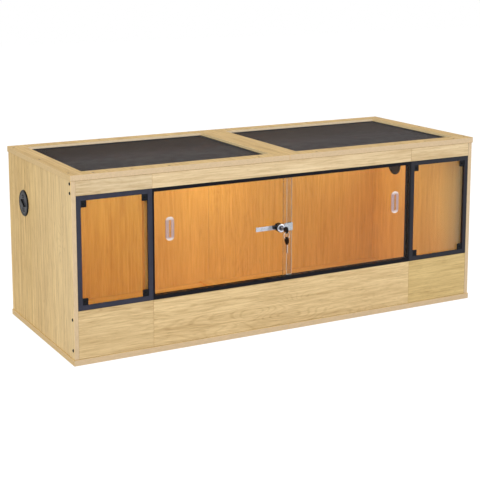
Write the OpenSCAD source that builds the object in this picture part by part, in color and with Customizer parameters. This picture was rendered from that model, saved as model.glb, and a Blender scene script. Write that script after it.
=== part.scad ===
// Long wooden reptile tank: board cabinet, two sliding glass doors between
// two fixed side windows, two mesh tops, a turning vent in each side panel,
// and a ratchet lock with its keys on the doors.
// Millimetres. The origin is the centre of the underside of the base.
// +X runs along the length to the right, +Y to the back, +Z up.

/* [Cabinet boards] */
// Clear depth inside, from the front panels to the back panels
cabin_d = 449; // [380:1:560]
// Thickness of the base and top boards
board_t = 15; // [12:0.5:20]
// Thickness of the two side panels
side_t = 12; // [10:0.5:18]
// Thickness of the kick and fascia panels
front_t = 15; // [12:0.5:18]
// Thickness of the back panels
back_t = 12; // [10:0.5:18]
// How far the base and top boards stand out past the panels
board_lip = 2; // [0:0.5:6]
// Chamfer on the edges of every board
edge_c = 0.6; // [0.2:0.1:1.2]
// Hairline gap between two boards that meet end to end
seam = 0.4; // [0.2:0.1:1]
// Width of the strip that covers the joint of the back panels
back_strip_w = 30; // [20:1:50]
// Thickness of that strip
back_strip_t = 2; // [1:0.5:4]
// Width of the strip over the joint of the base boards
floor_strip_w = 60; // [40:1:90]
// Thickness of that strip
floor_strip_t = 5; // [3:0.5:12]
// Thickness of the batten under the joint of the top boards
batten_t = 12; // [8:0.5:18]
// Width of the two posts beside the doors
post_w = 16; // [12:0.5:24]
// Depth of the two posts
post_d = 15; // [10:0.5:24]

/* [Front layout] */
// Height of the kick panels
kick_h = 121; // [90:1:160]
// Height of the glazed opening
opening_h = 282; // [240:1:340]
// Height of the fascia panels
fascia_h = 37; // [34:1:60]
// Width of the door opening, between the side windows
door_open_w = 780; // [640:2:960]
// Width of each side window over its frame
window_w = 198; // [150:1:260]

/* [Screws and dowels] */
// Diameter of a screw's shank
screw_d = 3.6; // [3:0.2:5]
// Diameter of a screw's head
screw_head_d = 7; // [6:0.2:9]
// Height of a screw's countersunk head
screw_head_h = 2.4; // [1.6:0.2:3.6]
// Length of a screw
screw_len = 34; // [28:1:36]
// Depth of a screw's head below the board's face
screw_sink = 0.3; // [0.1:0.1:1]
// Diameter of the black cover cap on a screw in the side panels
screw_cap_d = 8; // [7:0.5:10]
// Height of that cap
screw_cap_h = 1.6; // [1:0.1:2]
// Distance of the innermost front screws from the middle
mid_screw_x = 87; // [60:1:120]
// Distance of the innermost back screws from the middle
back_screw_x = 62; // [40:1:120]
// Distance of a screw from the panel joint beside it
joint_screw_x = 50; // [30:1:70]
// Distance of the last front screw from the side panel
end_screw_x = 48; // [40:1:70]
// Distance of the screws in the side panels' edges from their ends
side_screw_y = 30; // [24:1:60]
// Distance of the kick's side screws from its top and bottom
kick_screw_z = 22; // [16:1:30]
// Distance of the fascia's side screws from its top and bottom
fascia_screw_z = 7; // [6:0.5:10]
// Diameter of the dowels between the front panels
dowel_d = 8; // [6:1:9]
// Length of those dowels
dowel_len = 30; // [20:1:40]
// Distance of the kick's dowels from its top and bottom
kick_dowel_z = 30; // [20:1:40]

/* [Mesh tops] */
// Width of the top board beside each opening, at the tank's ends
side_rail = 42; // [36:1:60]
// Width of the bar between the two openings
centre_rail = 80; // [64:1:120]
// Width of the top board in front of the openings
front_rail = 37; // [34:1:60]
// Width of the top board behind the openings
back_rail = 45; // [34:1:70]
// Depth of the mesh frame's face below the top face
mesh_drop = 6; // [2:0.5:8]
// Width of the mesh frame's upper face
mesh_face = 8; // [5:0.5:14]
// Width of the inner ledge that the mesh lies on
mesh_ledge = 6; // [4:0.5:10]
// Depth of the ledge below the frame's upper face
mesh_step = 3; // [3:0.5:6]
// Clearance of the mesh frame in its opening
mesh_gap = 0.5; // [0.2:0.1:1]
// Width of the flange under the top board
mesh_flange = 10; // [8:0.5:12]
// Thickness of that flange
mesh_flange_t = 2; // [1:0.5:3]
// Thickness of one layer of the mesh's bars
mesh_t = 1.2; // [0.8:0.1:1.4]
// Width of the bars of the mesh
mesh_bar = 1.6; // [1:0.1:3]
// Play between two bars where they meet
mesh_play = 0.02; // [0.01:0.01:0.1]
// Columns of gaps in each mesh
mesh_cols = 10; // [6:1:11]
// Rows of gaps in each mesh
mesh_rows = 8; // [4:1:9]

/* [Side windows] */
// Width of the window frame's face
window_face = 12; // [10:0.5:18]
// Thickness of all the glass
pane_t = 4; // [3:0.5:5]
// Thickness of the window frame in front of its glass
pane_setback = 4.5; // [4:0.5:8]
// How far the window glass reaches into the frame's groove
window_grip = 4; // [3:0.5:6]
// How far the frame's back flange overlaps the glass
window_back = 2; // [1:0.5:2.5]
// Thickness of that flange
window_back_t = 2; // [1.5:0.5:4]
// Clearance round the window glass
pane_gap = 0.2; // [0.1:0.1:0.5]
// Width of a corner clip
clip_w = 15; // [12:0.5:20]
// Height of a corner clip
clip_h = 17; // [12:0.5:20]
// Thickness of a corner clip
clip_t = 3; // [2:0.5:3.5]
// Radius of a corner clip's free corner
clip_r = 1.5; // [1:0.5:5]
// Diameter of a clip screw's head
clip_screw_d = 6; // [5:0.5:7]

/* [Sliding doors] */
// Height of the top and bottom tracks
track_h = 9; // [8:0.5:14]
// Thickness of the tracks' outer walls
track_wall = 2; // [1.5:0.5:3]
// Thickness of the bottom track's floor
track_floor = 3; // [2:0.5:4]
// Thickness of the top track's roof
track_roof = 2; // [1.5:0.5:3]
// Running clearance of the doors in their tracks
run_gap = 0.3; // [0.2:0.1:0.5]
// Room above a door in the top track
lift_gap = 2; // [1:0.5:3]
// Clearance between the lock and the back door's pull
pass_gap = 0.4; // [0.3:0.1:1]
// Overlap of the two doors when they are shut
door_overlap = 32; // [28:1:60]
// Thickness of a jamb's back plate
jamb_plate = 2; // [1.5:0.5:3]
// Height of the fins on a jamb
jamb_fin = 2.5; // [1:0.5:4]
// Clearance between a shut door and its jamb
shut_gap = 0.5; // [0.3:0.1:1]
// Width of the clear strip on the back door's edge
seal_w = 16; // [12:1:20]
// Thickness of that strip
seal_t = 0.8; // [0.5:0.1:1]

/* [Finger pulls] */
// Width of a finger pull
pull_w = 23; // [20:1:32]
// Height of a finger pull
pull_h = 60; // [50:1:90]
// Thickness of a finger pull
pull_t = 3.2; // [2.5:0.1:3.6]
// Width of the raised rim
pull_rim = 8; // [3:0.5:8.5]
// Thickness of the recessed floor
pull_floor = 1.2; // [0.8:0.1:2]
// Radius of the pull's corners
pull_r = 10; // [8:0.5:12]
// Distance of a pull's middle from the jamb side of the opening
pull_x = 52; // [40:1:90]
// Height of a pull's middle above the kick
pull_rise = 173; // [120:1:190]

/* [Lock] */
// Height of the lock above the kick
lock_rise = 143; // [110:1:160]
// Diameter of the lock's barrel
lock_d = 23; // [20:0.5:26]
// How far the barrel stands out past the front panels
lock_out = 8; // [6:0.5:12]
// Gap between the barrel and the front door's edge
lock_side_gap = 0.4; // [0.3:0.1:1]
// Height of the lock's bar
bar_h = 12; // [10:0.5:14]
// Thickness of the bar
bar_t = 1.6; // [1.2:0.1:2]
// Length of the bar left of the back door's edge
bar_len = 111; // [96:1:120]
// Clearance between the bar and the front door
bar_front_gap = 0.9; // [0.6:0.1:1]
// Height of the bar's hook
hook_h = 21; // [18:0.5:26]
// How far the hook's middle lies below the bar's middle
hook_drop = 3.5; // [0:0.5:4]
// Length of the hook's leg behind the glass
hook_back = 12; // [8:1:14]
// Length of the bend between the bar and the hook
bar_bend = 8; // [6:0.5:10]
// Clearance of the hook round the glass
hook_gap = 0.1; // [0.1:0.1:0.3]
// Pitch of the bar's ratchet teeth
tooth_pitch = 3; // [2:0.5:4]
// Depth of the ratchet teeth
tooth_h = 0.8; // [0.4:0.1:1.2]
// Number of ratchet teeth
tooth_count = 17; // [6:1:17]
// Clearance of the bar in the lock's slot, all round
slot_gap = 0.2; // [0.1:0.05:0.3]
// Thickness of the lock's wall behind the bar
lock_back = 1.1; // [0.8:0.1:2]
// Diameter of the lock's plug
plug_d = 13; // [10:0.5:15]
// Running clearance round the plug
plug_gap = 0.08; // [0.05:0.01:0.1]
// Length of the black guide on the lock's left, in front of the bar
guide_len = 6; // [4:1:14]
// Height of that guide
guide_h = 6.5; // [6:0.5:14]
// Thickness of that guide
guide_t = 3; // [2:0.5:5]

/* [Keys] */
// Thickness of a key's blade
blade_t = 2; // [1.6:0.1:2.4]
// Width of a key's blade
blade_w = 7; // [5:0.5:8]
// Length of the blade between the lock and the key's head
blade_out = 13; // [1:0.5:16]
// Length of the blade inside the lock's plug
blade_in = 9; // [5:0.5:10]
// Thickness of a key's head
bow_t = 3.2; // [2.6:0.2:4]
// Height of a key's head, across the blade
bow_w = 18; // [17:0.5:24]
// Length of a key's head, along the blade
bow_len = 20; // [18:1:24]
// Radius of the hole in a key's head
bow_hole_r = 2.3; // [2.1:0.1:2.5]
// Distance of that hole from the end of the head
bow_hole_in = 5.5; // [5:0.5:6]
// Distance of the hole from the middle of the head
bow_hole_off = 3.5; // [0:0.5:4]
// Radius of the key ring, to the middle of its wire
ring_r = 8.5; // [8:0.5:14]
// Radius of the key ring's wire
ring_wire = 0.8; // [0.6:0.1:1]
// Play between the ring and the holes that it hangs in
ring_gap = 0.4; // [0.3:0.1:0.6]

/* [Vents] */
// Distance of a vent's middle from the side panel's back edge
vent_back = 126; // [80:1:160]
// Distance of a vent's middle below the top board
vent_down = 118; // [80:1:160]
// Radius of a vent's outer flange
vent_r = 34.5; // [33:0.5:44]
// Thickness of that flange
vent_flange_t = 3.5; // [3.1:0.1:5]
// Width of the flange's raised rim
vent_rim = 6; // [4:0.5:8]
// Radius of the hole through the side panel
vent_hole_r = 27; // [24:0.5:28]
// Wall of the vent's sleeve in that hole
vent_wall = 2; // [1.5:0.5:3]
// Clearance of the sleeve in the hole
vent_gap = 0.2; // [0.1:0.1:0.5]
// Thickness of the vent's slotted plate
vent_plate_t = 1.5; // [1:0.5:2]
// Thickness of the turning cap's disc
cap_t = 1.5; // [1:0.1:2]
// Clearance between the cap and the fixed vent
cap_gap = 0.3; // [0.2:0.1:0.5]
// Length of the cap's grip bar
grip_len = 28; // [24:1:44]
// Width of the cap's grip bar
grip_w = 5.5; // [5:0.5:12]
// Height of the grip bar above the cap's disc
grip_h = 4; // [3:0.5:8]
// Tilt of the grip bar from level
grip_tilt = 33; // [0:1:60]
// Radius of the cap's hub
hub_r = 5; // [4:0.5:6]
// Running clearance round the hub
hub_gap = 0.08; // [0.05:0.01:0.1]
// Width of an air slot
vent_slot = 2.6; // [2:0.2:3.2]
// Angle that an air slot spans
vent_slot_deg = 62; // [40:1:80]
// Thickness of the inner grille
grille_t = 2; // [1.5:0.5:3]
// Radius of the inner grille
grille_r = 31; // [29:0.5:36]
// Radius of a hole in the inner grille
grille_hole_r = 1.6; // [1.2:0.1:1.8]

/* [Hidden] */
$fn = 48;

// Colours
oak = [0.83, 0.73, 0.53];
oak_front = [0.86, 0.77, 0.58];
oak_inside = [0.78, 0.66, 0.45];
black_plastic = [0.13, 0.13, 0.15];
black_steel = [0.2, 0.2, 0.21];
chrome = [0.82, 0.83, 0.85];
clear_glass = [0.75, 0.85, 0.83, 0.3];
clear_plastic = [0.9, 0.92, 0.95, 0.5];

// Overall sizes and the cabinet's planes
body_w = door_open_w + 2 * window_w + 2 * side_t;
body_d = front_t + cabin_d + back_t;
body_h = 2 * board_t + kick_h + opening_h + fascia_h;
half_w = body_w / 2;
in_w = half_w - side_t;
front_y = -body_d / 2;
back_y = body_d / 2;
inner_front_y = front_y + front_t;
inner_back_y = back_y - back_t;
kick_z = board_t + kick_h;
open_z = kick_z + opening_h;
top_z = body_h - board_t;
door_x = door_open_w / 2;
board_x = half_w + board_lip;
board_y = back_y + board_lip;

// The openings in the top boards
cut_x0 = centre_rail / 2;
cut_x1 = board_x - side_rail;
cut_y0 = -board_y + front_rail;
cut_y1 = board_y - back_rail;
mesh_top_z = body_h - mesh_drop;
mesh_z = mesh_top_z - mesh_step;
top_batten_w = centre_rail - 2 * (mesh_flange + 2);

// Depths behind the front plane, for everything in the door opening
window_pane = pane_setback + pane_gap;
window_d = window_pane + pane_t + window_back_t;
slot_w = pane_t + 2 * run_gap;
front_pane = track_wall + run_gap;
door_gap = bar_front_gap + bar_t + slot_gap + lock_back + pass_gap + pull_t;
back_pane = front_pane + pane_t + door_gap;
track_d = back_pane + pane_t + run_gap + track_wall;
post_front_y = front_y + max(front_t, window_d);
post_z = top_z - mesh_flange_t - 2;
seal_d = back_pane - seal_t;
bar_d = front_pane + pane_t + bar_front_gap;
hook_d = seal_d - bar_t;

// Places along the door opening
jamb_t = jamb_plate + jamb_fin;
pane_x = door_x - jamb_plate - shut_gap;
edge_x = door_overlap / 2;
lock_x = -edge_x - lock_side_gap - lock_d / 2;
lock_z = kick_z + lock_rise;
pull_mid_x = door_x - pull_x;
pull_z = kick_z + pull_rise;
bar_x = edge_x - bar_len;
hook_x = 2 - edge_x + bar_bend;
hook_end = edge_x + hook_gap + bar_t;
lock_rear = bar_d + bar_t + slot_gap + lock_back;
plug_len = lock_out + bar_d - slot_gap - 1.5;
blade_len = blade_in + blade_out;

// The key, its hole and the ring that hangs from it
bow_start = -lock_out - blade_out;
bow_end = bow_start - bow_len;
hang_y = bow_end + bow_hole_in;
hang_z = lock_z - bow_hole_off;
hang_drop = bow_hole_r - ring_wire - ring_gap;
ring_z = hang_z - hang_drop - ring_r;
spare_hole_z = ring_z - ring_r - hang_drop;

// The vent's middle
vent_y = back_y - vent_back;
vent_z = top_z - vent_down;
vent_sleeve_r = vent_hole_r - vent_gap;
vent_in_r = vent_sleeve_r - vent_wall;
cap_r = vent_r - vent_rim - cap_gap;
cap_x = vent_plate_t + cap_gap;

// Where the screws go, on the right half of the tank
front_mid_y = front_y + front_t / 2;
back_mid_y = back_y - back_t / 2;
side_mid_x = half_w - side_t / 2;
front_screw_xs = [mid_screw_x, door_x - joint_screw_x, door_x + joint_screw_x, in_w - end_screw_x];
back_screw_xs = [back_screw_x, door_x - joint_screw_x];
side_screw_ys = [front_y + side_screw_y, 0, back_y - side_screw_y];
edge_spots = concat(
    [for (x = front_screw_xs) [x, front_mid_y]],
    [for (x = back_screw_xs) [x, back_mid_y]],
    [for (y = side_screw_ys) [side_mid_x, y]]
);
side_spots = [
    board_t + kick_screw_z, kick_z - kick_screw_z,
    open_z + fascia_screw_z, top_z - fascia_screw_z
];
dowel_spots = [board_t + kick_dowel_z, kick_z - kick_dowel_z, (open_z + top_z) / 2];
screw_hole_gap = 0.1;
dowel_gap = 0.1;

// General shapes

// What is drawn for the right side, put on side s: 1 right, -1 left
module on_side(s) {
    if (s < 0) mirror([1, 0, 0]) children();
    else children();
}

module box(lo, hi) {
    translate(lo) cube(hi - lo);
}

module bevelled(s, c) {
    polygon([
        [c, 0], [s[0] - c, 0], [s[0], c], [s[0], s[1] - c],
        [s[0] - c, s[1]], [c, s[1]], [0, s[1] - c], [0, c]
    ]);
}

// A box from corner lo to corner hi with all its edges chamfered
module plank(lo, hi, chamfer = edge_c) {
    s = hi - lo;
    c = min(chamfer, min(s) / 3);
    translate(lo) intersection() {
        linear_extrude(s[2]) bevelled([s[0], s[1]], c);
        translate([0, s[1], 0]) rotate([90, 0, 0]) linear_extrude(s[1]) bevelled([s[0], s[2]], c);
        rotate([90, 0, 90]) linear_extrude(s[0]) bevelled([s[1], s[2]], c);
    }
}

// A rectangle about the origin with round corners
module round_rect(w, h, r) {
    square([w - 2 * r, h], center = true);
    square([w, h - 2 * r], center = true);
    for (x = [-1, 1], y = [-1, 1]) translate([x * (w / 2 - r), y * (h / 2 - r)]) circle(r);
}

// Lays a drawing made in X and Z at depth d behind the front plane, t thick
module at_depth(d, t) {
    translate([0, front_y + d + t, 0]) rotate([90, 0, 0]) linear_extrude(t) children();
}

// Screws and dowels, with the holes that they need

// A countersunk screw's head and shank, pointing down from the face at z = 0
module screw_shape() {
    translate([0, 0, -screw_sink - screw_head_h])
        cylinder(d1 = screw_d, d2 = screw_head_d, h = screw_head_h);
    translate([0, 0, -screw_sink - screw_len]) cylinder(d = screw_d, h = screw_len);
}

module screw() {
    difference() {
        screw_shape();
        for (a = [0, 90]) rotate(a)
            translate([-screw_head_d / 3, -0.4, -screw_sink - 1.2]) cube([screw_head_d / 1.5, 0.8, 2]);
    }
}

// The same screw under a cover cap that stands on the face
module capped_screw() {
    screw_shape();
    translate([0, 0, -screw_sink - 0.01]) cylinder(d = screw_head_d, h = screw_sink + 0.02);
    rotate_extrude() polygon([
        [0, 0], [screw_cap_d / 2, 0], [screw_cap_d / 2, screw_cap_h / 3],
        [screw_cap_d / 2 - 1, screw_cap_h], [0, screw_cap_h]
    ]);
}

module screw_hole() {
    translate([0, 0, -screw_sink - screw_head_h])
        cylinder(d1 = screw_d + 2 * screw_hole_gap, d2 = screw_head_d + 2 * screw_hole_gap, h = screw_head_h);
    translate([0, 0, -screw_sink]) cylinder(d = screw_head_d + 2 * screw_hole_gap, h = screw_sink + 1);
    translate([0, 0, -screw_sink - screw_len - 1]) cylinder(d = screw_d + 2 * screw_hole_gap, h = screw_len);
}

module at_top_spots() {
    for (s = [-1, 1], p = edge_spots) translate([s * p[0], p[1], body_h]) children();
}

module at_base_spots() {
    for (s = [-1, 1], p = edge_spots) translate([s * p[0], p[1], 0]) rotate([180, 0, 0]) children();
}

module at_side_spots() {
    for (s = [-1, 1], z = side_spots)
        translate([s * half_w, front_mid_y, z]) rotate([0, s * 90, 0]) children();
}

module at_dowel_spots() {
    for (s = [-1, 1], z = dowel_spots) translate([s * door_x, front_mid_y, z]) rotate([0, 90, 0]) children();
}

// Takes the screw and dowel holes out of a board
module drilled(top = false, base = false, sides = false, dowels = false) {
    difference() {
        children();
        if (top) at_top_spots() screw_hole();
        if (base) at_base_spots() screw_hole();
        if (sides) at_side_spots() screw_hole();
        if (dowels) at_dowel_spots()
            cylinder(d = dowel_d + 2 * dowel_gap, h = dowel_len + 1, center = true);
    }
}

module top_screws() {
    color(black_steel) at_top_spots() screw();
}

module base_screws() {
    color(black_steel) at_base_spots() screw();
}

module side_screws() {
    color(black_steel) at_side_spots() capped_screw();
}

module panel_dowels() {
    color(oak) at_dowel_spots() cylinder(d = dowel_d, h = dowel_len, center = true);
}

// Cabinet boards

module base_board(s) {
    color(oak) drilled(base = true) on_side(s)
        plank([seam / 2, -board_y, 0], [board_x, board_y, board_t]);
}

module floor_strip() {
    color(oak_inside) plank(
        [-floor_strip_w / 2, inner_front_y, board_t],
        [floor_strip_w / 2, inner_back_y, board_t + floor_strip_t]
    );
}

module side_panel(s) {
    color(oak) drilled(top = true, base = true, sides = true) on_side(s) difference() {
        plank([in_w, front_y, board_t], [half_w, back_y, top_z]);
        translate([in_w - 1, vent_y, vent_z]) rotate([0, 90, 0]) cylinder(r = vent_hole_r, h = side_t + 2);
    }
}

module back_panel(s) {
    color(oak) drilled(top = true, base = true) on_side(s)
        plank([seam / 2, inner_back_y, board_t], [in_w, back_y, top_z]);
}

module back_strip() {
    color(oak) plank(
        [-back_strip_w / 2, back_y, board_t],
        [back_strip_w / 2, back_y + back_strip_t, top_z]
    );
}

module top_board(s) {
    color(oak) drilled(top = true) on_side(s) difference() {
        plank([seam / 2, -board_y, top_z], [board_x, board_y, body_h]);
        box([cut_x0, cut_y0, top_z - 1], [cut_x1, cut_y1, body_h + 1]);
        at_mesh_spots() translate([0, 0, top_z - 1]) cylinder(d = screw_d + 2 * screw_hole_gap, h = 9);
    }
}

module top_batten() {
    color(oak_inside) plank(
        [-top_batten_w / 2, inner_front_y, top_z - batten_t],
        [top_batten_w / 2, inner_back_y, top_z]
    );
}

module fascia_side(s) {
    color(oak_front) drilled(top = true, sides = true, dowels = true) on_side(s)
        plank([door_x + seam / 2, front_y, open_z], [in_w, inner_front_y, top_z]);
}

module fascia_centre() {
    color(oak_front) drilled(top = true, dowels = true)
        plank([-door_x + seam / 2, front_y, open_z], [door_x - seam / 2, inner_front_y, top_z]);
}

module kick_side(s) {
    color(oak_front) drilled(base = true, sides = true, dowels = true) on_side(s)
        plank([door_x + seam / 2, front_y, board_t], [in_w, inner_front_y, kick_z]);
}

module kick_centre() {
    color(oak_front) drilled(base = true, dowels = true)
        plank([-door_x + seam / 2, front_y, board_t], [door_x - seam / 2, inner_front_y, kick_z]);
}

module post(s) {
    color(oak_inside) on_side(s)
        plank([door_x, post_front_y, board_t], [door_x + post_w, post_front_y + post_d, post_z]);
}

// Mesh tops

// A frame that hangs in the top board's opening by its flange from below
module mesh_frame(s) {
    x0 = cut_x0 + mesh_gap;
    x1 = cut_x1 - mesh_gap;
    y0 = cut_y0 + mesh_gap;
    y1 = cut_y1 - mesh_gap;
    f = mesh_face;
    w = mesh_face + mesh_ledge;
    o = mesh_flange;
    color(black_plastic) on_side(s) difference() {
        union() {
            box([x0, y0, top_z - mesh_flange_t], [x1, y1, mesh_top_z]);
            box([cut_x0 - o, cut_y0 - o, top_z - mesh_flange_t], [cut_x1 + o, cut_y1 + o, top_z]);
        }
        box([x0 + f, y0 + f, mesh_z], [x1 - f, y1 - f, mesh_top_z + 1]);
        box([x0 + w, y0 + w, top_z - mesh_flange_t - 1], [x1 - w, y1 - w, mesh_top_z + 1]);
        at_mesh_spots() translate([0, 0, top_z - mesh_flange_t - 1])
            cylinder(d = screw_d + 2 * screw_hole_gap, h = mesh_flange_t + 2);
    }
}

// A coarse net of crossed bars that lies on the frame's ledge: the bars along
// X and the hem below, the bars along Y on top of them, each a piece of its own
module mesh_screen(s) {
    m = mesh_gap + mesh_face + mesh_gap;
    x0 = cut_x0 + m;
    y0 = cut_y0 + m;
    w = cut_x1 - m - x0;
    d = cut_y1 - m - y0;
    hem = mesh_ledge;
    in = hem + mesh_play;
    step_x = (w - 2 * hem + mesh_bar) / mesh_cols;
    step_y = (d - 2 * hem + mesh_bar) / mesh_rows;
    color(black_steel) on_side(s) translate([x0, y0, mesh_z]) {
        for (y = [0, d - hem]) translate([0, y, 0]) cube([w, hem, mesh_t]);
        for (x = [0, w - hem]) translate([x, in, 0]) cube([hem, d - 2 * in, mesh_t]);
        for (j = [1:mesh_rows - 1])
            translate([in, hem + j * step_y - mesh_bar, 0]) cube([w - 2 * in, mesh_bar, mesh_t]);
        for (i = [1:mesh_cols - 1])
            translate([hem + i * step_x - mesh_bar, 1, mesh_t + mesh_play]) cube([mesh_bar, d - 2, mesh_t]);
    }
}

module at_mesh_spots() {
    m = mesh_flange / 2;
    for (x = [cut_x0 + 60, cut_x1 - 60], y = [cut_y0 - m, cut_y1 + m]) translate([x, y, 0]) children();
}

// Short screws that hold the flanges up under the top boards
module mesh_screws() {
    head_z = top_z - mesh_flange_t;
    color(black_steel) for (s = [-1, 1]) on_side(s) at_mesh_spots() {
        translate([0, 0, head_z - 1.5]) cylinder(d = screw_head_d, h = 1.5);
        translate([0, 0, head_z]) cylinder(d = screw_d, h = mesh_flange_t + 7.5);
    }
}

// Side windows

// Cuts the window's rectangle, m in from the frame's outer edges, from one depth to another
module window_cut(m, d0, d1) {
    box([door_x + m, front_y + d0, kick_z + m], [in_w - m, front_y + d1, open_z - m]);
}

// A frame with a groove for its glass. The flange behind the glass is the shorter one
module window_frame(s) {
    groove = window_face - window_grip - pane_gap;
    color(black_plastic) on_side(s) difference() {
        plank([door_x, front_y, kick_z], [in_w, front_y + window_d, open_z]);
        window_cut(window_face, -1, pane_setback + 0.01);
        window_cut(groove, pane_setback, window_pane + pane_t);
        window_cut(groove + pane_gap + window_back, window_pane + pane_t - 0.01, window_d + 1);
    }
}

module window_glass(s) {
    m = window_face - window_grip;
    color(clear_glass) on_side(s) plank(
        [door_x + m, front_y + window_pane, kick_z + m],
        [in_w - m, front_y + window_pane + pane_t, open_z - m],
        0.4
    );
}

// Puts a corner drawing, made for the lower left corner, in all four corners
module at_window_corners() {
    x0 = door_x + window_face;
    x1 = in_w - window_face;
    z0 = kick_z + window_face;
    z1 = open_z - window_face;
    for (i = [0, 1], j = [0, 1])
        translate([i == 0 ? x0 : x1, 0, j == 0 ? z0 : z1])
            mirror([i, 0, 0]) mirror([0, 0, j]) children();
}

module clip_outline() {
    square([clip_w, clip_h - clip_r]);
    square([clip_w - clip_r, clip_h]);
    translate([clip_w - clip_r, clip_h - clip_r]) circle(clip_r);
}

module window_clips(s) {
    color(black_plastic) on_side(s) at_window_corners() difference() {
        at_depth(window_pane - clip_t, clip_t) clip_outline();
        translate([clip_w / 2, front_y, clip_h / 2]) rotate([90, 0, 0])
            cylinder(d = clip_screw_d / 2 + 0.2, h = 2 * (window_pane - 0.6), center = true);
    }
}

// Pan-head screws, one in each corner clip
module clip_screws() {
    face = window_pane - clip_t;
    color(black_steel) for (s = [-1, 1]) on_side(s) at_window_corners()
        translate([clip_w / 2, front_y + face, clip_h / 2]) rotate([90, 0, 0]) {
            difference() {
                cylinder(d1 = clip_screw_d, d2 = clip_screw_d - 1.4, h = 1.5);
                for (a = [0, 90]) rotate(a) translate([0, 0, 1.3]) cube([3, 0.7, 1.6], center = true);
            }
            translate([0, 0, -clip_t + 0.8]) cylinder(d = clip_screw_d / 2, h = clip_t - 0.8);
        }
}

// Sliding doors

// The two grooves of a track, drawn in depth and height from z = 0 up
module groove_outlines(h) {
    for (d = [front_pane - run_gap, back_pane - run_gap]) translate([d, 0]) square([slot_w, h]);
}

module track(floor_t) {
    translate([-door_x, front_y, 0]) rotate([90, 0, 90]) linear_extrude(2 * door_x) difference() {
        bevelled([track_d, track_h], 0.5);
        translate([0, floor_t]) groove_outlines(track_h);
    }
}

module track_bottom() {
    color(black_plastic) translate([0, 0, kick_z]) track(track_floor);
}

module track_top() {
    color(black_plastic) translate([0, 0, open_z]) mirror([0, 0, 1]) track(track_roof);
}

// Black channel that closes the side of the door opening
module jamb(s) {
    color(black_plastic) on_side(s) translate([door_x, front_y, kick_z + track_h]) difference() {
        box([-jamb_t, 0, 0], [0, track_d, opening_h - 2 * track_h]);
        for (d = [front_pane - run_gap, back_pane - run_gap])
            box([-jamb_t - 1, d, -1], [-jamb_plate, d + slot_w, opening_h]);
    }
}

// A pane that stands in a track: s is its side, depth is where its face lies
module door_glass(s, depth) {
    z0 = kick_z + track_floor + run_gap;
    z1 = open_z - track_roof - lift_gap;
    color(clear_glass) on_side(s)
        plank([-edge_x, front_y + depth, z0], [pane_x, front_y + depth + pane_t, z1], 0.4);
}

module door_seal() {
    z0 = kick_z + track_h + run_gap;
    z1 = open_z - track_h - run_gap;
    color(clear_plastic)
        box([edge_x - seal_w, front_y + seal_d, z0], [edge_x, front_y + back_pane, z1]);
}

// Clear oblong pull with a raised rim, on a face at the given depth
module pull(s, depth) {
    outer_r = min(pull_r, pull_w / 2 - 0.5);
    inner_w = pull_w - 2 * pull_rim;
    inner_r = max(1, min(pull_r - pull_rim, inner_w / 2 - 0.5));
    color(clear_plastic) on_side(s) translate([pull_mid_x, 0, pull_z]) difference() {
        union() {
            at_depth(depth - pull_t + 0.6, pull_t - 0.6) round_rect(pull_w, pull_h, outer_r);
            at_depth(depth - pull_t, 0.61) round_rect(pull_w - 1.2, pull_h - 1.2, outer_r - 0.6);
        }
        at_depth(depth - pull_t - 1, pull_t - pull_floor + 1)
            round_rect(inner_w, pull_h - 2 * pull_rim, inner_r);
    }
}

// Lock

// Flat bar with a toothed upper edge, seen from the front
module bar_outline() {
    end = hook_x - bar_bend;
    first = bar_x + 3;
    polygon(concat(
        [[bar_x, -bar_h / 2], [end, -bar_h / 2], [end, bar_h / 2]],
        [for (i = [tooth_count - 1:-1:0], p = [1, 0])
            [first + (i + p) * tooth_pitch, bar_h / 2 - (p == 1 ? 0 : tooth_h)]],
        [[first, bar_h / 2], [bar_x, bar_h / 2]]
    ));
}

// The bend and the hook, seen from above, in X and depth
module bend_outline() {
    polygon([
        [hook_x - bar_bend - 0.01, bar_d], [hook_x - bar_bend + 1, bar_d], [hook_x + 1, hook_d],
        [hook_x + 1, hook_d + bar_t], [hook_x, hook_d + bar_t], [hook_x - bar_bend, bar_d + bar_t],
        [hook_x - bar_bend - 0.01, bar_d + bar_t]
    ]);
}

module hook_outline() {
    back = back_pane + pane_t + hook_gap;
    translate([hook_x, hook_d]) square([hook_end - hook_x, bar_t]);
    translate([edge_x + hook_gap, hook_d]) square([bar_t, back + bar_t - hook_d]);
    translate([hook_end - hook_back, back]) square([hook_back, bar_t]);
}

module lock_bar() {
    color(chrome) {
        translate([0, 0, lock_z]) at_depth(bar_d, bar_t) bar_outline();
        translate([0, front_y, lock_z - bar_h / 2]) linear_extrude(bar_h) bend_outline();
        translate([0, front_y, lock_z - hook_drop - hook_h / 2]) linear_extrude(hook_h) hook_outline();
    }
}

// The slot that the bar runs through, all along X
module bar_slot() {
    translate([0, 0, lock_z]) box(
        [lock_x - lock_d - guide_len, front_y + bar_d - slot_gap, -bar_h / 2 - slot_gap],
        [lock_x + lock_d, front_y + bar_d + bar_t + slot_gap, bar_h / 2 + slot_gap]
    );
}

// A cylinder round the lock's axis, from one depth to another
module lock_round(r, d0, d1) {
    translate([lock_x, front_y + d0, lock_z]) rotate([-90, 0, 0]) cylinder(r = r, h = d1 - d0);
}

module lock_body() {
    r = lock_d / 2;
    plug_end = plug_len - lock_out + 0.3;
    color(chrome) difference() {
        translate([lock_x, front_y - lock_out, lock_z]) rotate([-90, 0, 0]) rotate_extrude() polygon([
            [0, 0], [r - 2, 0], [r - 0.6, 0.5], [r, 1.6],
            [r, lock_rear + lock_out], [0, lock_rear + lock_out]
        ]);
        lock_round(plug_d / 2 + plug_gap, -lock_out - 1, plug_end);
        lock_round(plug_d / 2 + 1.2, -lock_out - 1, -lock_out + 0.5);
        bar_slot();
    }
}

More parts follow.
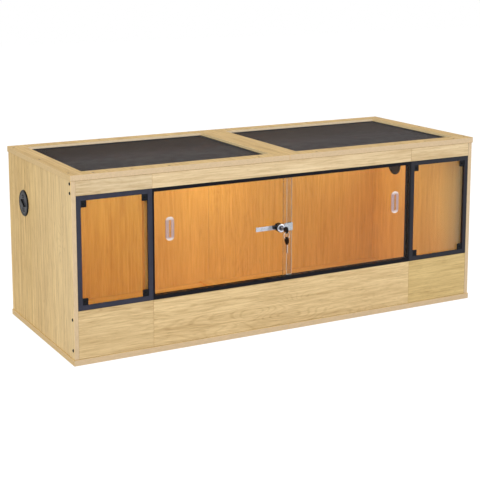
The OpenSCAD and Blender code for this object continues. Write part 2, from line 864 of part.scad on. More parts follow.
// Black guide that keeps the bar in, left of the barrel
module lock_guide() {
    color(black_plastic) difference() {
        translate([0, front_y, lock_z]) plank(
            [lock_x - lock_d / 2 - guide_len, bar_d - slot_gap - guide_t, -guide_h / 2],
            [lock_x, bar_d - slot_gap, guide_h / 2]
        );
        lock_round(lock_d / 2 + 0.05, -lock_out, track_d);
    }
}

module lock_plug() {
    color(chrome) difference() {
        lock_round(plug_d / 2, -lock_out, plug_len - lock_out);
        translate([lock_x, front_y - lock_out, lock_z]) box(
            [-blade_t / 2 - 0.1, -1, -blade_w / 2 - 0.1],
            [blade_t / 2 + 0.1, blade_in + 0.3, blade_w / 2 + 0.1]
        );
    }
}

// A key drawn in the YZ plane: its head's end at y = 0, its blade towards +y
module key_shape(hole_off) {
    half = bow_w / 2;
    tip = bow_len + blade_len;
    bitting = [for (i = [0:3]) [tip - 2.5 - 3 * i, i % 2 == 0 ? 1.2 : 2.2]];
    translate([-bow_t / 2, 0, 0]) rotate([90, 0, 90]) linear_extrude(bow_t) difference() {
        union() {
            translate([half, 0]) circle(half);
            translate([half, -bow_w * 0.225]) square([bow_len - half, bow_w * 0.45]);
        }
        translate([bow_hole_in, hole_off]) circle(bow_hole_r);
    }
    translate([-blade_t / 2, 0, 0]) rotate([90, 0, 90]) linear_extrude(blade_t) difference() {
        translate([bow_len - 0.01, -blade_w / 2]) square([blade_len + 0.01, blade_w]);
        for (b = bitting) translate([b[0], blade_w / 2 - b[1]])
            polygon([[0, 0], [1.2, b[1] + 0.1], [-1.2, b[1] + 0.1]]);
    }
}

module key() {
    color(black_plastic) translate([lock_x, front_y + bow_end, lock_z]) key_shape(-bow_hole_off);
}

module key_ring() {
    color(chrome) translate([lock_x, front_y + hang_y, ring_z]) rotate([90, 0, 0])
        rotate_extrude() translate([ring_r, 0]) circle(ring_wire, $fn = 24);
}

// A second key that hangs from the ring, blade down
module spare_key() {
    color(black_plastic) translate([lock_x, front_y + hang_y, spare_hole_z + bow_hole_in])
        rotate([-90, 0, 0]) key_shape(0);
}

// Vents, drawn about the X axis with x = 0 on the side panel's outer face

module at_vent(s) {
    on_side(s) translate([half_w, vent_y, vent_z]) children();
}

// A ring or disc about X, from x0 to x1
module vent_round(r, x0, x1) {
    translate([x0, 0, 0]) rotate([0, 90, 0]) cylinder(r = r, h = x1 - x0);
}

// Arc slots above and below the middle, cut along X
module vent_slots(x0, x1) {
    reach = vent_r * 2;
    half = vent_slot_deg / 2;
    translate([x0, 0, 0]) rotate([90, 0, 90]) linear_extrude(x1 - x0)
        for (side = [90, 270], r = [vent_in_r - 14.3, vent_in_r - 8.8, vent_in_r - 3.3]) intersection() {
            difference() {
                circle(r + vent_slot / 2);
                circle(r - vent_slot / 2);
            }
            polygon([[0, 0], for (a = [-half, 0, half]) [reach * cos(side + a), reach * sin(side + a)]]);
        }
}

module vent_body(s) {
    color(black_plastic) at_vent(s) difference() {
        union() {
            rotate([0, 90, 0]) rotate_extrude() polygon([
                [0, 0], [vent_r, 0], [vent_r, vent_flange_t - 1.2], [vent_r - 1.2, vent_flange_t],
                [vent_r - vent_rim + 1, vent_flange_t], [vent_r - vent_rim, vent_flange_t - 1],
                [vent_r - vent_rim, vent_plate_t], [0, vent_plate_t]
            ]);
            difference() {
                vent_round(vent_sleeve_r, -side_t, 0.1);
                vent_round(vent_in_r, -side_t - 1, 0);
            }
        }
        vent_slots(-1, vent_plate_t + 1);
        vent_round(hub_r + hub_gap, -1, vent_plate_t + 1);
    }
}

// Turning cap: slotted disc, grip bar, and a hub that snaps in behind the plate
module vent_cap(s) {
    color(black_plastic) at_vent(s) {
        difference() {
            vent_round(cap_r, cap_x, cap_x + cap_t);
            vent_slots(cap_x - 1, cap_x + cap_t + 1);
        }
        translate([cap_x + cap_t, 0, 0]) rotate([grip_tilt, 0, 0]) rotate([90, 0, 90])
            linear_extrude(grip_h) round_rect(grip_len, grip_w, grip_w / 2 - 0.5);
        vent_round(hub_r, -cap_gap, cap_x);
        vent_round(hub_r + 1.5, -cap_gap - 1.2, -cap_gap);
    }
}

// Perforated plate on the inside of the side panel
module vent_grille(s) {
    color(black_steel) at_vent(s) translate([-side_t - grille_t, 0, 0]) rotate([90, 0, 90])
        linear_extrude(grille_t) difference() {
            circle(grille_r);
            for (ring = [1:4], i = [0:6 * ring - 1])
                rotate(i * 60 / ring) translate([ring * 5.2, 0]) circle(grille_hole_r, $fn = 24);
        }
}

base_board(-1);  // base_left
base_board(1);  // base_right
floor_strip();
side_panel(-1);  // side_left
side_panel(1);  // side_right
back_panel(-1);  // back_left
back_panel(1);  // back_right
back_strip();
top_board(-1);  // top_left
top_board(1);  // top_right
top_batten();
fascia_side(-1);  // fascia_left
fascia_centre();
fascia_side(1);  // fascia_right
kick_side(-1);  // kick_left
kick_centre();
kick_side(1);  // kick_right
post(-1);  // post_left
post(1);  // post_right
panel_dowels();
top_screws();
base_screws();
side_screws();
mesh_frame(-1);  // mesh_frame_left
mesh_frame(1);  // mesh_frame_right
mesh_screen(-1);  // mesh_screen_left
mesh_screen(1);  // mesh_screen_right
mesh_screws();
window_frame(-1);  // window_frame_left
window_frame(1);  // window_frame_right
window_glass(-1);  // window_glass_left
window_glass(1);  // window_glass_right
window_clips(-1);  // window_clips_left
window_clips(1);  // window_clips_right
clip_screws();
track_top();
track_bottom();
jamb(-1);  // jamb_left
jamb(1);  // jamb_right
door_glass(-1, back_pane);  // door_glass_left
door_glass(1, front_pane);  // door_glass_right
door_seal();
pull(-1, back_pane);  // pull_left
pull(1, front_pane);  // pull_right
lock_bar();
lock_body();
lock_guide();
lock_plug();
key();
key_ring();
spare_key();
vent_body(-1);  // vent_body_left
vent_body(1);  // vent_body_right
vent_cap(-1);  // vent_cap_left
vent_cap(1);  // vent_cap_right
vent_grille(-1);  // vent_grille_left
vent_grille(1);  // vent_grille_right
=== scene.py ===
"""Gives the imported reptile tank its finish: oak boards, black profiles, glass, a fine
wire mesh and a chrome lock, under plain studio light, from the photograph's angle."""
import math

import bmesh
import bpy
from mathutils import Matrix, Vector


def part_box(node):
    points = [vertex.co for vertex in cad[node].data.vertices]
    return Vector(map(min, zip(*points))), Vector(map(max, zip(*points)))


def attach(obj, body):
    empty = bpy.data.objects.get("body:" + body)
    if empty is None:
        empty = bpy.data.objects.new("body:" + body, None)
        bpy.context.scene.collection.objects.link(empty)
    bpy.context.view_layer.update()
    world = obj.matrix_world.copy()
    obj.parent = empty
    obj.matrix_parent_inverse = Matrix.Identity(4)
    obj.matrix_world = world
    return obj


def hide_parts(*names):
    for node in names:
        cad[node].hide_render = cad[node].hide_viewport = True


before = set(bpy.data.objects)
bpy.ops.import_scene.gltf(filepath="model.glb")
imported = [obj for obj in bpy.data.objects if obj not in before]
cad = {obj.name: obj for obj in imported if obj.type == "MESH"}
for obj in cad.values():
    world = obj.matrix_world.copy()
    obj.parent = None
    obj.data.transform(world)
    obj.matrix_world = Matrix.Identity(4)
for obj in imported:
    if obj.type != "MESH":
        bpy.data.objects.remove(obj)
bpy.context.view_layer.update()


# Sizes, in metres

wire_pitch = 0.002
wire_radius = 0.00033
wire_press = 0.92
spline_radius = 0.0009
spline_corner = 0.006
pull_rim_depth = 0.0012
strip_rim = 0.0012
grip_start = 0.0002
bow_length = 0.020

cabin_half_width = 0.59
cabin_half_depth = 0.226

# Stretches along Y where the side panels get painted light, paler towards the front,
# and where they get painted shade inside
paler_from, paler_to = -0.24, 0.1
shade_from, shade_to = -0.21, -0.11
corner_from, corner_to = -0.214, -0.186

floor_half = 9
floor_gap = 0.0006


# Camera, with angles in degrees and its lens in millimetres

camera_azimuth = -28.50
camera_elevation = 9.35
camera_roll = 0.01
camera_distance = 3.335
camera_offset = (-0.0149, 0.2300)
camera_height = 0.230
camera_lens = 89.50
camera_shift = -0.2
camera_sensor = 36
camera_near = 0.05


# Light levels

floor_glow = 0.75
floor_strength = 1.2
world_light = 0.45
mirror_share = 0.14


# Colours of the boards, written as they look, 0 to 255

edge_colour = (215, 189, 152)
end_colour = (226, 194, 138)
# Painted light: the cut walls of the top's openings, paler than the edge band
cut_painted_light = (255, 232, 196)
cut_side_painted_light = (255, 228, 174)
band_speck = (222, 222, 222)
# Painted light: the side panels paler towards the front
painted_light_oak = (255, 240, 205)
side_light, side_dark = (252, 219, 149), (184, 146, 88)
front_light, front_dark = (237, 214, 173), (186, 156, 110)
kick_light, kick_dark = (238, 211, 160), (182, 150, 101)
top_light, top_dark = (218, 184, 120), (164, 130, 76)
# Painted warm light: the oak inside the tank, and its battens, as lit by the lamps inside
inner_painted_warm_light, inner_painted_warm_dark = (247, 199, 114), (212, 157, 82)
# Painted warm light on the posts, orange like the lit oak inside
post_painted_warm_light, post_painted_warm_dark = (240, 172, 92), (204, 130, 62)
# Painted shade on the side panels' inner faces, darkest at the front corners
corner_shade = (122, 92, 48)
corner_deep_shade = (56, 38, 22)
paler_share = 0.22
shade_share = 0.8
corner_share = 0.92
# Painted shade: some front panels darker, evening out how the light falls across the front
panel_shade_tints = {
    "fascia_left": (0.97, 0.98, 1.0),
    "kick_left": (0.98, 0.98, 0.98),
    "kick_right": (0.955, 0.95, 0.875),
}


def srgb(red, green, blue):
    """A colour written as it looks, as the linear one that a shader takes."""
    def linear(value):
        value /= 255
        return value / 12.92 if value <= 0.04045 else ((value + 0.055) / 1.055) ** 2.4
    return (linear(red), linear(green), linear(blue), 1.0)


def scaled(colour, shares):
    """A colour with each of its three parts multiplied."""
    return tuple(part * share for part, share in zip(colour, shares))


def evenly(colour, share):
    """A colour with all its parts multiplied by one share."""
    return scaled(colour, (share, share, share))


# Material building

class Nodes:
    """The node tree of one new material."""

    def __init__(self, name):
        self.material = bpy.data.materials.new(name)
        self.material.use_nodes = True
        self.tree = self.material.node_tree
        self.tree.nodes.clear()
        self.out = self.add("ShaderNodeOutputMaterial")

    def add(self, kind, settings=None, **values):
        """A new node. Keyword names are its inputs, with _ for a space."""
        node = self.tree.nodes.new(kind)
        for name, value in (settings or {}).items():
            setattr(node, name, value)
        for name, value in values.items():
            self.put(node.inputs[name.replace("_", " ")], value)
        return node

    def put(self, socket, value):
        if isinstance(value, bpy.types.NodeSocket):
            self.tree.links.new(value, socket)
        else:
            socket.default_value = value

    def math(self, operation, first, second=0.0):
        node = self.add("ShaderNodeMath", {"operation": operation})
        self.put(node.inputs[0], first)
        self.put(node.inputs[1], second)
        return node.outputs[0]

    def mix(self, factor, first, second, blend="MIX"):
        node = self.add("ShaderNodeMix", {"data_type": "RGBA", "blend_type": blend})
        self.put(node.inputs[0], factor)
        self.put(node.inputs[6], first)
        self.put(node.inputs[7], second)
        return node.outputs[2]

    def span(self, value, low, high, to_low=0.0, to_high=1.0):
        """value, moved from one range to another and kept in it."""
        node = self.add(
            "ShaderNodeMapRange",
            From_Min=low, From_Max=high, To_Min=to_low, To_Max=to_high,
        )
        self.put(node.inputs["Value"], value)
        return node.outputs["Result"]

    def noise(self, vector, scale, detail=2.0, roughness=0.5, distortion=0.0):
        node = self.add(
            "ShaderNodeTexNoise",
            Vector=vector, Scale=scale, Detail=detail,
            Roughness=roughness, Distortion=distortion,
        )
        return node.outputs["Fac"]

    def place(self, scale=(1, 1, 1), offset=(0, 0, 0)):
        """The object's own coordinates in metres, moved and stretched."""
        coordinates = self.add("ShaderNodeTexCoord").outputs["Object"]
        node = self.add("ShaderNodeMapping", Vector=coordinates, Location=offset, Scale=scale)
        return node.outputs["Vector"]

    def coordinate(self, axis):
        """The place along an axis of the object, in metres."""
        where = self.add("ShaderNodeTexCoord").outputs["Object"]
        return self.add("ShaderNodeSeparateXYZ", Vector=where).outputs[axis]

    def distance(self, axis, middle=0.0):
        """How far along an axis, either way, from a place on it."""
        away = self.coordinate(axis)
        if middle:
            away = self.math("SUBTRACT", away, middle)
        return self.math("ABSOLUTE", away)

    def normal(self, axis):
        """The surface's direction along an axis of the object, -1 to 1."""
        normal = self.add("ShaderNodeTexCoord").outputs["Normal"]
        return self.add("ShaderNodeSeparateXYZ", Vector=normal).outputs[axis]

    def facing(self, value):
        """1 where a direction is square to its axis, 0 where it runs along."""
        return self.span(value, 0.35, 0.75)

    def normal_share(self, axis):
        """1 on faces square to an axis of the object, 0 on faces along it."""
        return self.facing(self.math("ABSOLUTE", self.normal(axis)))

    def bump(self, height, distance, strength=0.5):
        node = self.add("ShaderNodeBump", Height=height, Distance=distance, Strength=strength)
        return node.outputs["Normal"]

    def blend(self, factor, first, second):
        """Two shaders, mixed."""
        node = self.add("ShaderNodeMixShader")
        for socket, value in zip(node.inputs, (factor, first, second)):
            self.put(socket, value)
        return node.outputs[0]

    def surface(self, specular=None, **values):
        """The main shader, with its inputs as for add."""
        shader = self.add("ShaderNodeBsdfPrincipled", **values)
        if specular is not None:
            shader.inputs["Specular IOR Level"].default_value = specular
        return shader.outputs[0]

    def finish(self, shader):
        self.put(self.out.inputs["Surface"], shader)
        return self.material


# Oak

# Each layer of the grain has its stretch along the grain, its noise's scale, detail,
# roughness and distortion, the part of the noise that it uses, and its share of the
# tone between the light and the dark colour. The pores are laid over that tone.
grain_layers = {
    "bands": (0.1, 10, 3, 0.5, 0.4, 0.34, 0.66, 0.16),
    "flames": (0.08, 60, 4, 0.6, 0.5, 0.36, 0.64, 0.18),
    "streaks": (0.03, 110, 5, 0.7, 0.4, 0.36, 0.64, 0.26),
    "lines": (0.04, 250, 3, 0.6, 0.3, 0.4, 0.62, 0.3),
    "dashes": (0.1, 190, 4, 0.65, 0.5, 0.5, 0.68, 0.2),
    "pores": (0.1, 480, 3, 0.62, 0.0, 0.56, 0.72, 0.0),
}
figure_stretch = 0.2
figure_rings = 210.0
seed_step = (0.37, 0.61, 0.83)
pore_strength = 0.3
pore_darkness = 0.74
joint_and_gap_shade = 0.5
oak_relief = 0.00012


def ring_figure(n, vector, streaks):
    """Arched growth rings in some places, broken up by the streaks."""
    drift = n.noise(vector, 11, 2, 0.4, 0.2)
    rings = n.span(n.math("SINE", n.math("MULTIPLY", drift, figure_rings)), 0.3, 1.0)
    rings = n.math("MULTIPLY", rings, n.span(n.noise(vector, 5, 1), 0.46, 0.6))
    return n.math("MULTIPLY", rings, n.span(streaks, 0, 1, 0.5, 1.0))


def above_cabin(n):
    """1 within the tank's walls, seen from above, and 0 outside them."""
    within = 1.0
    for axis, reach in (("X", cabin_half_width), ("Y", cabin_half_depth)):
        within = n.math("MULTIPLY", n.math("LESS_THAN", n.distance(axis), reach), within)
    return within


def painted_inner_light_and_shade(n, tone, face_axis):
    """Painted warm light on the oak inside; painted shade at the side panels' front corners.
    """
    colour = n.mix(tone, srgb(*inner_painted_warm_light), srgb(*inner_painted_warm_dark))
    if face_axis == "X":
        shade = n.span(n.coordinate("Y"), shade_from, shade_to, shade_share, 0.0)
        colour = n.mix(shade, colour, srgb(*corner_shade))
        corner = n.span(n.coordinate("Y"), corner_from, corner_to, corner_share, 0.0)
        colour = n.mix(corner, colour, srgb(*corner_deep_shade))
    return colour


def wood(
    name, grain, light, dark, face_axis,
    seed=0.0, figure=0.4, banded=False, inner=None, joint=False,
):
    """Oak-faced board. grain is the axis that the grain runs along, and face_axis the
    one square to the board's faces. figure is the strength of the growth rings. banded
    gives its edges the plain edge band, with painted light on the cut walls over the tank.
    inner is the side of the board that looks into the tank, 1 or -1 along face_axis, which
    gets painted warm light and shade. joint darkens the level chamfers, where the panel
    meets another board: a dark joint, with painted shade in the gap. Boards square to X,
    the side panels, get painted light, paler towards the front."""
    n = Nodes(name)
    offset = tuple(seed * step for step in seed_step)

    def stretched(share):
        return n.place(tuple(share if axis == grain else 1 for axis in "XYZ"), offset)

    layers = {}
    tone = 0.0
    for layer, values in grain_layers.items():
        stretch, scale, detail, roughness, distortion, low, high, share = values
        cloud = n.noise(stretched(stretch), scale, detail, roughness, distortion)
        layers[layer] = n.span(cloud, low, high)
        if share:
            tone = n.math("ADD", n.math("MULTIPLY", layers[layer], share), tone)
    streaks, pores = layers["streaks"], layers["pores"]
    rings = ring_figure(n, stretched(figure_stretch), streaks)
    tone = n.math("ADD", n.math("MULTIPLY", rings, figure), tone)
    tone = n.math("MINIMUM", tone, 1.0)
    colour = n.mix(tone, srgb(*light), srgb(*dark))

    over_cabin = above_cabin(n) if face_axis == "Z" else 0.0
    # Painted warm light and shade on the faces that look into the tank
    if inner is not None:
        inside = n.facing(n.math("MULTIPLY", n.normal(face_axis), inner))
        if face_axis == "Z":
            inside = n.math("MULTIPLY", inside, over_cabin)
        colour = n.mix(inside, colour, painted_inner_light_and_shade(n, tone, face_axis))
    pore_share = n.math("MULTIPLY", pores, pore_strength)
    colour = n.mix(pore_share, colour, srgb(*evenly(dark, pore_darkness)))
    # Painted light: the side panels paler towards the front
    if face_axis == "X":
        paler = n.span(n.coordinate("Y"), paler_from, paler_to, paler_share, 0.0)
        colour = n.mix(paler, colour, srgb(*painted_light_oak))
    # Dark joints, with painted shade in the gaps between the boards
    if joint:
        slope = n.math("ABSOLUTE", n.normal("Z"))
        above, below = n.math("GREATER_THAN", slope, 0.5), n.math("LESS_THAN", slope, 0.9)
        groove = n.math("MULTIPLY", above, below)
        colour = n.mix(groove, colour, srgb(*evenly(dark, joint_and_gap_shade)))
    if banded:
        band = n.mix(n.normal_share("X"), srgb(*edge_colour), srgb(*end_colour))
        # Painted light on the cut walls of the top's openings
        cut = n.mix(n.normal_share("X"), srgb(*cut_painted_light), srgb(*cut_side_painted_light))
        band = n.mix(over_cabin, band, cut)
        speck = n.span(n.noise(stretched(0.3), 300, 3, 0.6), 0.3, 0.7)
        specked = n.mix(1.0, band, srgb(*band_speck), "MULTIPLY")
        band = n.mix(n.math("MULTIPLY", speck, 0.5), band, specked)
        colour = n.mix(n.normal_share(face_axis), band, colour)
    relief = n.math("ADD", n.math("MULTIPLY", streaks, 0.4), pores)
    return n.finish(n.surface(
        specular=0.3,
        Base_Color=colour,
        Roughness=n.span(streaks, 0, 1, 0.52, 0.66),
        Normal=n.bump(n.math("SUBTRACT", 1.0, relief), oak_relief),
    ))


# Plastic, metal and glass

def black(name, tone, rough, specular=0.5, grain_scale=900, back=None):
    """Black moulded, extruded or coated surface with a fine, slightly uneven sheen.
    back is the colour that it drifts to towards the tank's back, painted light from inside
    the tank."""
    n = Nodes(name)
    where = n.place()
    cloud = n.span(n.noise(where, 34, 3), 0.3, 0.7)
    colour = n.mix(cloud, srgb(*tone), srgb(*evenly(tone, 1.22)))
    # Painted light: the colour drifts towards back at the tank's back
    if back is not None:
        depth = n.span(n.coordinate("Y"), -cabin_half_depth, cabin_half_depth)
        colour = n.mix(depth, colour, srgb(*back))
    return n.finish(n.surface(
        specular=specular,
        Base_Color=colour,
        Roughness=n.span(cloud, 0, 1, rough * 0.85, rough * 1.15),
        Normal=n.bump(n.noise(where, grain_scale, 2), 0.00004, 0.6),
    ))


def metal(name, tone, rough, scratch_axis=(1, 1, 1), dirt=0.15, side=None):
    """Plated or polished metal with hairline scratches and a little dulling. side is
    the colour of what isn't square to Y, a painted dark reflection."""
    n = Nodes(name)
    cloud = n.noise(n.place(), 70, 3)
    hair = n.noise(n.place(scratch_axis), 1500, 2)
    dull = n.math("MULTIPLY", n.span(cloud, 0.4, 0.75), dirt)
    colour = n.mix(dull, srgb(*tone), srgb(*evenly(tone, 0.6)))
    # Painted dark reflection on what isn't square to Y
    if side is not None:
        colour = n.mix(n.normal_share("Y"), srgb(*side), colour)
    return n.finish(n.surface(
        Base_Color=colour,
        Metallic=1.0,
        Roughness=n.span(cloud, 0.3, 0.7, rough * 0.7, rough * 1.4),
        Normal=n.bump(hair, 0.00002),
    ))


def clear(name, tint, edge, edge_share, haze=0.0, rim=None, rim_share=0.4, highlight_ends=None):
    """Clear sheet square to Y: light passes straight on, past a faint mirror on its
    faces. edge is the colour of its cut edges, and edge_share how solid they look.
    rim marks a raised or thickened rim, and a painted highlight makes the ends of it whiter."""
    n = Nodes(name)
    face = n.normal_share("Y")
    film = n.noise(n.place(), 11, 3)
    fresnel = n.add("ShaderNodeFresnel", IOR=1.5).outputs[0]
    mirror = n.math("MULTIPLY", fresnel, mirror_share)
    mirror = n.math("ADD", mirror, n.span(film, 0.3, 0.7, haze, haze + 0.003))
    metallic = face
    if rim is not None:
        mark = rim(n)
        mirror = n.math("ADD", mirror, n.math("MULTIPLY", mark, rim_share))
        metallic = n.math("MULTIPLY", face, n.math("SUBTRACT", 1.0, mark))
    white = metallic
    # Painted highlight: the marked ends of the rim turn whiter and more solid
    if highlight_ends is not None:
        end_highlight = highlight_ends(n)
        white = n.math("MAXIMUM", metallic, end_highlight)
        ends = n.math("MULTIPLY", n.math("MULTIPLY", end_highlight, mark), 0.3)
        mirror = n.math("ADD", mirror, ends)
    solid = n.surface(
        Base_Color=n.mix(white, srgb(*edge), srgb(255, 255, 255)),
        Metallic=metallic,
        Roughness=n.span(film, 0.3, 0.75, 0.02, 0.08),
    )
    through = n.add("ShaderNodeBsdfTransparent", Color=srgb(*tint)).outputs[0]
    return n.finish(n.blend(n.span(face, 0, 1, edge_share, mirror), through, solid))


def key_finish(name, axis, limit, above):
    """Black moulded head on a nickel blade, which starts at limit along axis."""
    n = Nodes(name)
    compare = "GREATER_THAN" if above else "LESS_THAN"
    blade = n.math(compare, n.coordinate(axis), limit)
    cloud = n.noise(n.place(), 300, 3)
    grip = n.mix(cloud, srgb(8, 8, 9), srgb(16, 16, 18))
    nickel = n.mix(cloud, srgb(205, 204, 200), srgb(168, 166, 160))
    return n.finish(n.surface(
        specular=0.1,
        Base_Color=n.mix(blade, grip, nickel),
        Metallic=blade,
        Roughness=n.span(cloud, 0.3, 0.7, 0.24, 0.36),
        Normal=n.bump(n.noise(n.place(), 1400, 2), 0.00003),
    ))


def vent_cap_finish():
    """Dark grey disc with a black grip bar, which stands out past the disc."""
    n = Nodes("vent_cap_finish")
    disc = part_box("vent_body_right")[1].x
    grip = n.math("GREATER_THAN", n.distance("X"), disc + grip_start)
    cloud = n.noise(n.place(), 90, 3)
    grey = n.mix(n.span(cloud, 0.35, 0.65), srgb(44, 43, 48), srgb(66, 65, 70))
    return n.finish(n.surface(
        specular=0.1,
        Base_Color=n.mix(grip, grey, srgb(8, 8, 9)),
        Roughness=n.span(cloud, 0.3, 0.7, 0.3, 0.42),
        Normal=n.bump(n.noise(n.place(), 1200, 2), 0.00003),
    ))


def dress(material, *names):
    """Gives CAD nodes a material."""
    for name in names:
        mesh = cad[name].data
        mesh.materials.clear()
        mesh.materials.append(material)


def dress_pair(material, name):
    """Gives the left and the right node of a pair the same material."""
    dress(material, f"{name}_left", f"{name}_right")


# Oak boards

for seed, side in enumerate(("left", "right")):
    inward = 1 if side == "left" else -1
    for part, grain, face_axis, light, dark, start, inner in (
        ("side", "Z", "X", side_light, side_dark, 1.3, inward),
        ("back", "Z", "Y", side_light, side_dark, 4.1, -1),
        ("top", "Y", "Z", top_light, top_dark, 6.7, -1),
        ("base", "X", "Z", side_light, side_dark, 9.2, 1),
    ):
        oak = wood(
            f"oak_{part}_{side}", grain, light, dark, face_axis,
            seed + start, figure=0.2, banded=True, inner=inner,
        )
        dress(oak, f"{part}_{side}")

for seed, part in enumerate(("left", "centre", "right")):
    for board, light, dark, start, figure in (
        ("fascia", front_light, front_dark, 12.4, 0.2),
        ("kick", kick_light, kick_dark, 21.5, 0.3),
    ):
        name = f"{board}_{part}"
        tint = panel_shade_tints.get(name, (1, 1, 1))
        oak = wood(
            f"oak_{name}", "X", scaled(light, tint), scaled(dark, tint), "Y",
            seed * 2 + start, figure, inner=1, joint=True,
        )
        dress(oak, name)

dress(wood("oak_strip", "Z", side_light, side_dark, "Y", 31.0), "back_strip")
# The posts get painted warm light
dress_pair(wood("oak_post_painted_warm", "Z", post_painted_warm_light, post_painted_warm_dark, "Y", 33.0), "post")
# The battens inside get the same painted warm light
batten = wood("oak_batten_painted_warm", "Y", inner_painted_warm_light, inner_painted_warm_dark, "Z", 35.0)
dress(batten, "floor_strip", "top_batten", "panel_dowels")


# Black profiles, screws and vents

# Painted light and shade: the left frame is a paler lit copy of the profile, the right one a
# darker shaded copy
dress(black("window_profile_painted_lit", (39, 40, 53), 0.42, 0.25), "window_frame_left")
dress(black("window_profile_painted_shade", (25, 25, 33), 0.42, 0.25), "window_frame_right")
dress_pair(black("clip_plastic", (14, 15, 20), 0.35, 0.15), "window_clips")
track = black("track_profile", (12, 12, 19), 0.36, 0.12)
dress(track, "track_top", "track_bottom", "jamb_left", "jamb_right")
dress_pair(black("mesh_profile", (13, 12, 14), 0.45, 0.08), "mesh_frame")
dark_screw = black("screw_black", (20, 18, 17), 0.5, 0.1, 1600)
dress(dark_screw, "side_screws", "mesh_screws", "clip_screws")
dress(black("screw_bronze", (74, 56, 40), 0.5, 0.15, 1600), "top_screws", "base_screws")
dress_pair(black("vent_gloss", (9, 9, 10), 0.3, 0.06), "vent_body")
dress_pair(vent_cap_finish(), "vent_cap")
dress_pair(black("vent_mesh", (36, 27, 20), 0.5, 0.1), "vent_grille")


# Glass and clear plastic

def raised_rim(node):
    """Marks the front of a pull's rim, before its recessed floor."""
    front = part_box(node)[0].y
    return lambda n: n.math("LESS_THAN", n.coordinate("Y"), front + pull_rim_depth)


def pull_highlight_ends(node):
    """Rises to 1 towards the top and the bottom of a pull, where a painted highlight goes."""
    low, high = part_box(node)
    middle, half = (low.z + high.z) / 2, (high.z - low.z) / 2
    return lambda n: n.span(n.distance("Z", middle), 0.7 * half, half)


def strip_highlight_rims(n):
    """Marks the two long rims of the clear strip and its foot, which get a painted highlight.
    """
    low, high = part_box("door_seal")
    middle, half = (low.x + high.x) / 2, (high.x - low.x) / 2
    side = n.math("GREATER_THAN", n.distance("X", middle), half - strip_rim)
    foot = n.math("LESS_THAN", n.coordinate("Z"), low.z + 2 * strip_rim)
    return n.math("MAXIMUM", side, foot)


dress_pair(clear("door_pane", (249, 250, 249), (112, 98, 76), 0.6), "door_glass")
dress_pair(clear("window_pane", (245, 247, 242), (190, 205, 190), 0.5), "window_glass")
# The pulls' ends get a painted highlight
for name in ("pull_left", "pull_right"):
    plastic = clear(
        f"clear_{name}", (246, 246, 248), (178, 173, 190), 0.75, haze=0.02,
        rim=raised_rim(name), rim_share=0.5, highlight_ends=pull_highlight_ends(name),
    )
    dress(plastic, name)
# The strip's rims get a painted highlight, pale and solid
strip = clear(
    "clear_strip", (249, 247, 243), (244, 236, 222), 0.7, haze=0.004,
    rim=strip_highlight_rims, rim_share=0.55,
)
dress(strip, "door_seal")


# Lock and keys

along_x, along_y = (0.05, 1, 1), (1, 0.05, 1)
# The barrel's sides get a painted dark reflection
barrel = metal("lock_barrel_dark_reflection", (206, 208, 216), 0.2, along_y, side=(52, 52, 58))
dress(metal("lock_plate", (200, 202, 212), 0.24, along_x, dirt=0.4), "lock_bar")
dress(barrel, "lock_body")
dress(metal("lock_core", (84, 84, 92), 0.3, along_y), "lock_plug")
dress(metal("ring_wire", (206, 204, 198), 0.14), "key_ring")
dress(black("guide_plastic", (18, 18, 20), 0.34), "lock_guide")

key_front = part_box("key")[0].y
dress(key_finish("key_finish", "Y", key_front + bow_length, True), "key")
spare_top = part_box("spare_key")[1].z
dress(key_finish("spare_key_finish", "Z", spare_top - bow_length, False), "spare_key")


# Mesh tops: the coarse CAD net becomes two layers of fine wires

def mesh_object(name, shape, material, body):
    """A new piece from a bmesh, on a body, with a material."""
    data = bpy.data.meshes.new(name)
    shape.to_mesh(data)
    shape.free()
    data.materials.append(material)
    piece = bpy.data.objects.new(name, data)
    bpy.context.scene.collection.objects.link(piece)
    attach(piece, body)
    return piece


def add_ring(shape, centre, across, upward, radius, sides):
    """One ring of points, from across towards upward."""
    ring = []
    for step in range(sides):
        angle = 2 * math.pi * step / sides
        spoke = across * math.cos(angle) + upward * math.sin(angle)
        ring.append(shape.verts.new(centre + spoke * radius))
    return ring


def join_rings(shape, first, second):
    """A smooth tube's wall between two rings."""
    for step in range(len(first)):
        other = (step + 1) % len(first)
        face = shape.faces.new((first[step], first[other], second[other], second[step]))
        face.smooth = True


def add_wire(shape, start, end, radius, sides=6):
    """A straight round wire along X or Y."""
    upward = Vector((0, 0, 1))
    across = (end - start).normalized().cross(upward).normalized()
    first = add_ring(shape, start, across, upward, radius, sides)
    last = add_ring(shape, end, across, upward, radius, sides)
    join_rings(shape, first, last)
    shape.faces.new(first)
    shape.faces.new(reversed(last))


def wire_net(low, high, radius, pitch):
    """Wires along X below wires along Y, over the whole rectangle."""
    shape = bmesh.new()
    lower = low.z + radius
    upper = lower + 2 * radius * wire_press
    rows = round((high.y - low.y) / pitch)
    columns = round((high.x - low.x) / pitch)
    for row in range(rows + 1):
        y = low.y + (high.y - low.y) * row / rows
        add_wire(shape, Vector((low.x, y, lower)), Vector((high.x, y, lower)), radius)
    for column in range(columns + 1):
        x = low.x + (high.x - low.x) * column / columns
        add_wire(shape, Vector((x, low.y, upper)), Vector((x, high.y, upper)), radius)
    return shape


